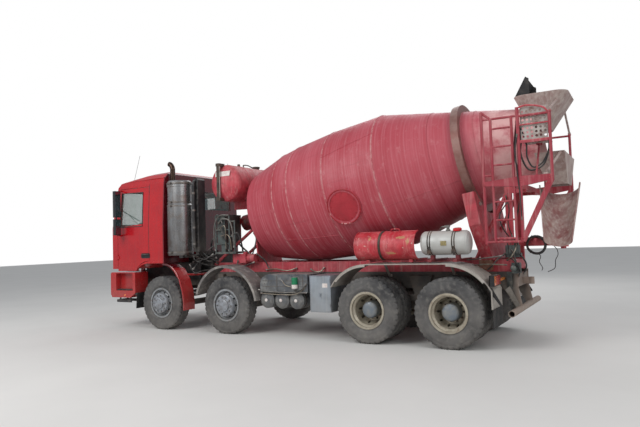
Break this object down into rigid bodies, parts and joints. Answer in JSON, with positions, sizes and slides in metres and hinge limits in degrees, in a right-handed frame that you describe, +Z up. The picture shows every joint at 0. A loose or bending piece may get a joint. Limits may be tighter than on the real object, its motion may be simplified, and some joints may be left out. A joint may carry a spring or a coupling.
{
  "type": "concrete mixer truck",
  "caption": "Cab-over truck with a tilted rotating drum, charging hopper, swinging chute, steered front axles and twin-wheel rear axles.",
  "frame": {"origin": "on the ground below the middle of the truck's length and width", "axes": "+X forward, +Y to the left side, +Z up"},
  "size_m": [9.28, 2.9, 4.15],
  "materials": {
    "frame_paint": "dusty dark paint",
    "engine_iron": "greasy",
    "mixer_red": "faded, chalky, chipped",
    "drum_red": "faded red with pale streaks",
    "cab_red": "glossy red",
    "lamp_lens": "coloured lens",
    "guard_plastic": "dusty moulded plastic",
    "exhaust_steel": "weathered stainless sheet",
    "black_plastic": "black moulded plastic",
    "drive_paint": "grey-green paint, oily",
    "plate_metal": "pale paint, perforated",
    "blade_steel": "worn bright by concrete",
    "hose_rubber": "dusty black",
    "worn_steel": "worn, stained by concrete",
    "flap_rubber": "matt black",
    "tank_metal": "dull metal",
    "box_aluminium": "dull sheet",
    "window_glass": "clear, slightly green",
    "interior_plastic": "dark grey trim",
    "chute_steel": "concrete-stained",
    "bracket_red": "chipped red",
    "rod_chrome": "polished",
    "tyre_rubber": "dusty",
    "rim_silver": "silver",
    "rim_cream": "cream"
  },
  "bodies": {
    "chassis": {"chassis_frame": "frame_paint", "engine": "engine_iron", "front_axles": "frame_paint", "rear_axles": "frame_paint", "mixer_frame": "mixer_red", "front_bumper": "cab_red", "lamps": "lamp_lens", "mudguards": "guard_plastic", "exhaust": "exhaust_steel", "air_intake": "black_plastic", "drum_drive": "drive_paint", "water_tank": "mixer_red", "rear_ladder": "mixer_red", "platform": "plate_metal", "hopper": "worn_steel", "hopper_flaps": "flap_rubber", "spare_chutes": "mixer_red", "tanks": "tank_metal", "side_box": "box_aluminium", "hose_coil": "hose_rubber"},
    "cab": {"cab_shell": "cab_red", "cab_glass": "window_glass", "cab_interior": "interior_plastic", "grille": "black_plastic"},
    "left_door": {"door_left": "cab_red", "door_glass_left": "window_glass"},
    "right_door": {"door_right": "cab_red", "door_glass_right": "window_glass"},
    "drum": {"drum": "drum_red", "drum_ring": "worn_steel", "drum_blades": "blade_steel"},
    "left_roller": {"roller_left": "worn_steel"},
    "right_roller": {"roller_right": "worn_steel"},
    "chute_bracket": {"chute_bracket": "bracket_red"},
    "chute": {"chute": "chute_steel"},
    "chute_cylinder": {"chute_cylinder": "bracket_red"},
    "chute_rod": {"chute_rod": "rod_chrome"},
    "knuckle_1_left": {"knuckle_1_left": "frame_paint"},
    "wheel_1_left": {"tyre_1_left": "tyre_rubber", "rim_1_left": "rim_silver"},
    "knuckle_1_right": {"knuckle_1_right": "frame_paint"},
    "wheel_1_right": {"tyre_1_right": "tyre_rubber", "rim_1_right": "rim_silver"},
    "knuckle_2_left": {"knuckle_2_left": "frame_paint"},
    "wheel_2_left": {"tyre_2_left": "tyre_rubber", "rim_2_left": "rim_silver"},
    "knuckle_2_right": {"knuckle_2_right": "frame_paint"},
    "wheel_2_right": {"tyre_2_right": "tyre_rubber", "rim_2_right": "rim_silver"},
    "wheel_3_left": {"tyres_3_left": "tyre_rubber", "rims_3_left": "rim_cream"},
    "wheel_3_right": {"tyres_3_right": "tyre_rubber", "rims_3_right": "rim_cream"},
    "wheel_4_left": {"tyres_4_left": "tyre_rubber", "rims_4_left": "rim_cream"},
    "wheel_4_right": {"tyres_4_right": "tyre_rubber", "rims_4_right": "rim_cream"}
  },
  "joints": [
    {"name": "cab_tilt", "type": "hinge", "parent": "chassis", "child": "cab", "pos_m": [4.5, 0, 1.06], "axis": [0, 1, 0], "range_deg": [0, 55]},
    {"name": "left_door_hinge", "type": "hinge", "parent": "cab", "child": "left_door", "pos_m": [4.454, 1.212, 2], "axis": [0, 0, -1], "range_deg": [0, 70]},
    {"name": "right_door_hinge", "type": "hinge", "parent": "cab", "child": "right_door", "pos_m": [4.454, -1.212, 2], "axis": [0, 0, 1], "range_deg": [0, 70]},
    {"name": "drum_turn", "type": "hinge", "parent": "chassis", "child": "drum", "pos_m": [-0.84, 0, 2.61], "axis": [-0.9848, 0, 0.1736], "continuous": true},
    {"name": "left_roller_turn", "type": "hinge", "parent": "chassis", "child": "left_roller", "pos_m": [-3.15098, 0.64971, 2.17307], "axis": [-0.9848, 0, 0.1736], "continuous": true},
    {"name": "right_roller_turn", "type": "hinge", "parent": "chassis", "child": "right_roller", "pos_m": [-3.15098, -0.64971, 2.17307], "axis": [-0.9848, 0, 0.1736], "continuous": true},
    {"name": "chute_swing", "type": "hinge", "parent": "chassis", "child": "chute_bracket", "pos_m": [-4.34, 0, 1.6], "axis": [0, 0, 1], "range_deg": [0, 180]},
    {"name": "chute_tilt", "type": "hinge", "parent": "chute_bracket", "child": "chute", "pos_m": [-4.34, 0.11, 1.84], "axis": [1, 0, 0], "range_deg": [-8, 28]},
    {"name": "cylinder_swing", "type": "hinge", "parent": "chute_bracket", "child": "chute_cylinder", "pos_m": [-4.34, -0.25, 1.715], "axis": [1, 0, 0], "range_deg": [-2.4, 8]},
    {"name": "rod_slide", "type": "slide", "parent": "chute_cylinder", "child": "chute_rod", "axis": [0, 0.4453, 0.8954], "range_m": [-0.138, 0.04]},
    {"name": "steer_1_left", "type": "hinge", "parent": "chassis", "child": "knuckle_1_left", "pos_m": [3.16, 0.93, 0.54], "axis": [0, 0, 1], "range_deg": [-35, 35]},
    {"name": "wheel_1_left_turn", "type": "hinge", "parent": "knuckle_1_left", "child": "wheel_1_left", "pos_m": [3.16, 1.072, 0.54], "axis": [0, 1, 0], "continuous": true},
    {"name": "steer_1_right", "type": "hinge", "parent": "chassis", "child": "knuckle_1_right", "pos_m": [3.16, -0.93, 0.54], "axis": [0, 0, 1], "range_deg": [-35, 35]},
    {"name": "wheel_1_right_turn", "type": "hinge", "parent": "knuckle_1_right", "child": "wheel_1_right", "pos_m": [3.16, -1.072, 0.54], "axis": [0, 1, 0], "continuous": true},
    {"name": "steer_2_left", "type": "hinge", "parent": "chassis", "child": "knuckle_2_left", "pos_m": [1.46, 0.93, 0.54], "axis": [0, 0, 1], "range_deg": [-23, 23]},
    {"name": "wheel_2_left_turn", "type": "hinge", "parent": "knuckle_2_left", "child": "wheel_2_left", "pos_m": [1.46, 1.072, 0.54], "axis": [0, 1, 0], "continuous": true},
    {"name": "steer_2_right", "type": "hinge", "parent": "chassis", "child": "knuckle_2_right", "pos_m": [1.46, -0.93, 0.54], "axis": [0, 0, 1], "range_deg": [-23, 23]},
    {"name": "wheel_2_right_turn", "type": "hinge", "parent": "knuckle_2_right", "child": "wheel_2_right", "pos_m": [1.46, -1.072, 0.54], "axis": [0, 1, 0], "continuous": true},
    {"name": "wheel_3_left_turn", "type": "hinge", "parent": "chassis", "child": "wheel_3_left", "pos_m": [-1.49, 0.91, 0.54], "axis": [0, 1, 0], "continuous": true},
    {"name": "wheel_3_right_turn", "type": "hinge", "parent": "chassis", "child": "wheel_3_right", "pos_m": [-1.49, -0.91, 0.54], "axis": [0, 1, 0], "continuous": true},
    {"name": "wheel_4_left_turn", "type": "hinge", "parent": "chassis", "child": "wheel_4_left", "pos_m": [-2.84, 0.91, 0.54], "axis": [0, 1, 0], "continuous": true},
    {"name": "wheel_4_right_turn", "type": "hinge", "parent": "chassis", "child": "wheel_4_right", "pos_m": [-2.84, -0.91, 0.54], "axis": [0, 1, 0], "continuous": true}
  ],
  "couplings": [
    {"joint": "left_roller_turn", "follows": "drum_turn", "ratio": -7.1154},
    {"joint": "right_roller_turn", "follows": "drum_turn", "ratio": -7.1154},
    {"joint": "cylinder_swing", "follows": "chute_tilt", "ratio": 0.28},
    {"joint": "rod_slide", "follows": "chute_tilt", "m_per_rad": -0.28},
    {"joint": "steer_1_right", "follows": "steer_1_left", "ratio": 1},
    {"joint": "steer_2_left", "follows": "steer_1_left", "ratio": 0.65},
    {"joint": "steer_2_right", "follows": "steer_1_left", "ratio": 0.65}
  ]
}
